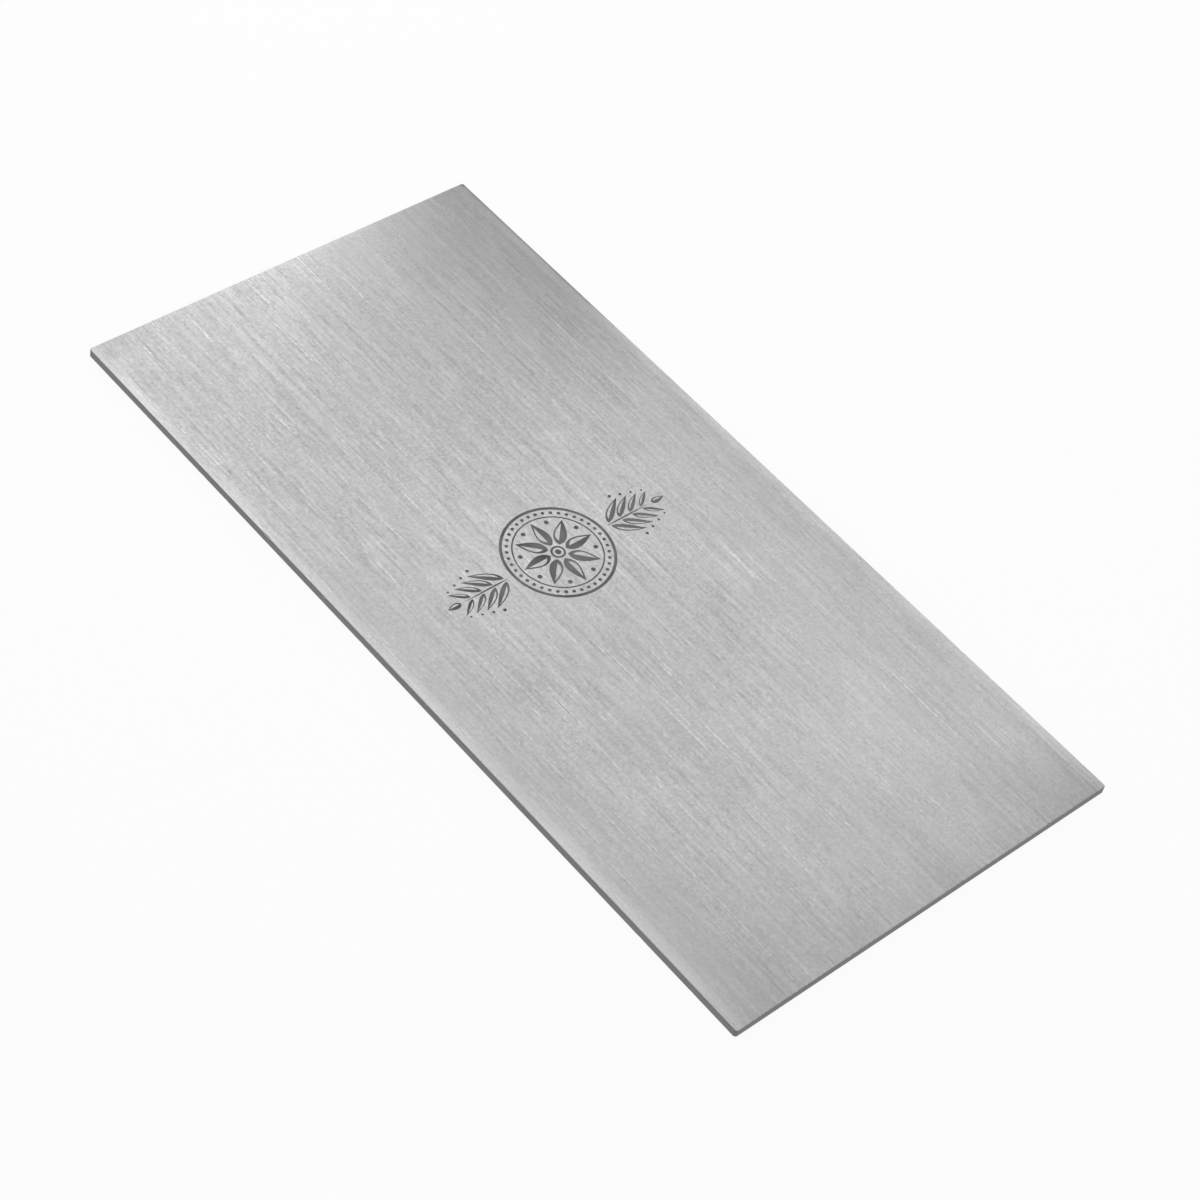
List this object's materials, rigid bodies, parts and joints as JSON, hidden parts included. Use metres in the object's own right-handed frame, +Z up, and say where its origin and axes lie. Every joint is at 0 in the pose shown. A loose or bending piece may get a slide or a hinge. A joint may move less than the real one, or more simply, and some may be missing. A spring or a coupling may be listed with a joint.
{
  "type": "card scraper",
  "caption": "Flat rectangular card of spring steel with square-ground edges, flexed in the hands to scrape wood smooth.",
  "frame": {"origin": "centre of the card's lower face, as it lies flat", "axes": "+X along the length of the card (parallel to its two long cutting edges), +Y across its width, +Z up through its thickness"},
  "size_m": [0.125, 0.062, 0.0012],
  "materials": {
    "ground_steel": "satin, ground along the length of the card"
  },
  "bodies": {
    "root": {"scraper_blade": "ground_steel"}
  },
  "joints": []
}
